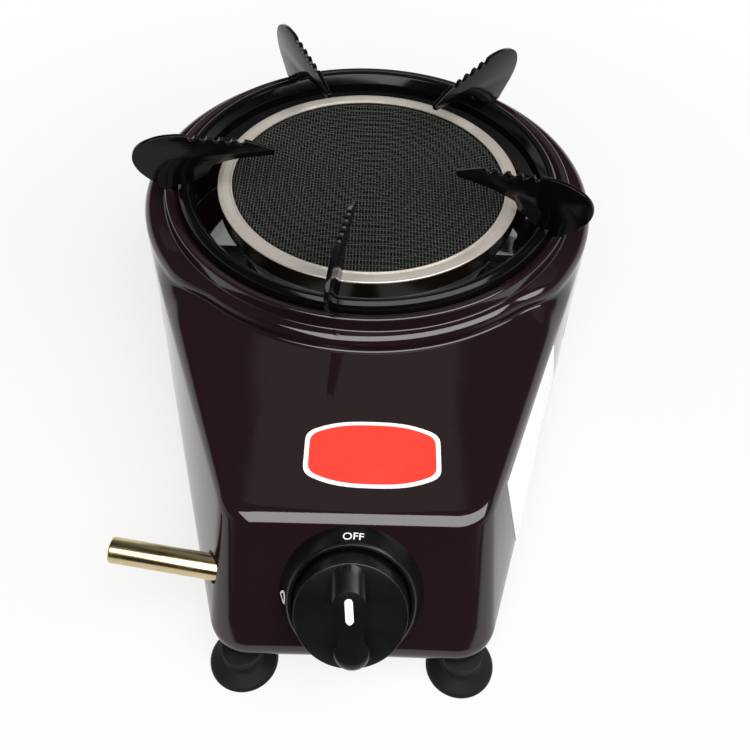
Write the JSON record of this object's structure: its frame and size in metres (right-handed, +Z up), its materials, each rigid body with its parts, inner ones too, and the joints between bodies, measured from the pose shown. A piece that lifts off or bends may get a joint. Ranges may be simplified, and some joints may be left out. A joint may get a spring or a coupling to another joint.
{
  "type": "single burner gas stove",
  "caption": "Portable gas stove: round burner drum with mesh-covered ceramic burner and raised pan prongs, box front with push-and-turn knob, hose tail at the side.",
  "frame": {"origin": "centre of the overall footprint, on the floor under the feet", "axes": "+Z up, the control panel faces -Y, +X to the right seen from the front"},
  "size_m": [0.2104, 0.326, 0.1014],
  "materials": {
    "housing_enamel": "glossy dark maroon enamel",
    "black_enamel": "glossy black enamel",
    "dark_plastic": "satin black moulding",
    "grey_rubber": "matte black rubber",
    "steel": "plain bright steel",
    "mesh_steel": "dark woven heat-resistant mesh",
    "brass": "turned brass",
    "yellow_zinc": "yellow zinc plating, faintly iridescent",
    "cast_aluminium": "as-cast and pressed, dull",
    "ceramic": "unglazed white",
    "fibre_gasket": "compressed ceramic fibre",
    "igniter_plastic": "black moulding",
    "lead_sleeve": "red silicone sleeve"
  },
  "bodies": {
    "stove": {"housing": "housing_enamel", "burner_mesh": "mesh_steel", "burner_ring": "steel", "ceramic_plate": "ceramic", "plate_gasket": "fibre_gasket", "burner_bowl": "cast_aluminium", "mixing_tube": "cast_aluminium", "gas_elbow": "brass", "gas_valve": "cast_aluminium", "piezo_igniter": "igniter_plastic", "ignition_lead": "lead_sleeve", "spark_electrode": "ceramic", "spark_wire": "steel", "electrode_bracket": "steel", "dial": "dark_plastic", "hose_tail": "yellow_zinc", "inlet_nut": "brass", "burner_strap": "steel", "valve_screw_left": "steel", "bowl_screw_left": "steel", "strap_screw_left": "steel", "foot_front_left": "grey_rubber", "foot_screw_front_left": "steel", "foot_rear_left": "grey_rubber", "foot_screw_rear_left": "steel", "valve_screw_right": "steel", "bowl_screw_right": "steel", "strap_screw_right": "steel", "foot_front_right": "grey_rubber", "foot_screw_front_right": "steel", "foot_rear_right": "grey_rubber", "foot_screw_rear_right": "steel"},
    "pan_support": {"pan_tray": "black_enamel", "pan_prong_1": "black_enamel", "pan_prong_2": "black_enamel", "pan_prong_3": "black_enamel", "pan_prong_4": "black_enamel", "pan_prong_5": "black_enamel"},
    "valve_plug": {"valve_plug": "brass"},
    "knob": {"knob": "dark_plastic", "valve_stem": "brass", "push_collar": "steel", "stem_spring": "steel"},
    "air_shutter": {"air_shutter": "steel"}
  },
  "joints": [
    {"name": "pan_support_lift", "type": "slide", "parent": "stove", "child": "pan_support", "axis": [0, 0, 1], "range_m": [0, 0.05]},
    {"name": "knob_turn", "type": "hinge", "parent": "stove", "child": "valve_plug", "pos_m": [-0.0007, -0.13561, 0.03853], "axis": [0, -0.7926, 0.6098], "range_deg": [0, 180]},
    {"name": "knob_push", "type": "slide", "parent": "valve_plug", "child": "knob", "axis": [0, 0.7926, -0.6098], "range_m": [0, 0.003], "stiffness_N_per_m": 2000, "springref_m": -0.002},
    {"name": "air_shutter_turn", "type": "hinge", "parent": "stove", "child": "air_shutter", "pos_m": [0, -0.09232, 0.042], "axis": [0, -1, 0], "range_deg": [-30, 30]}
  ]
}
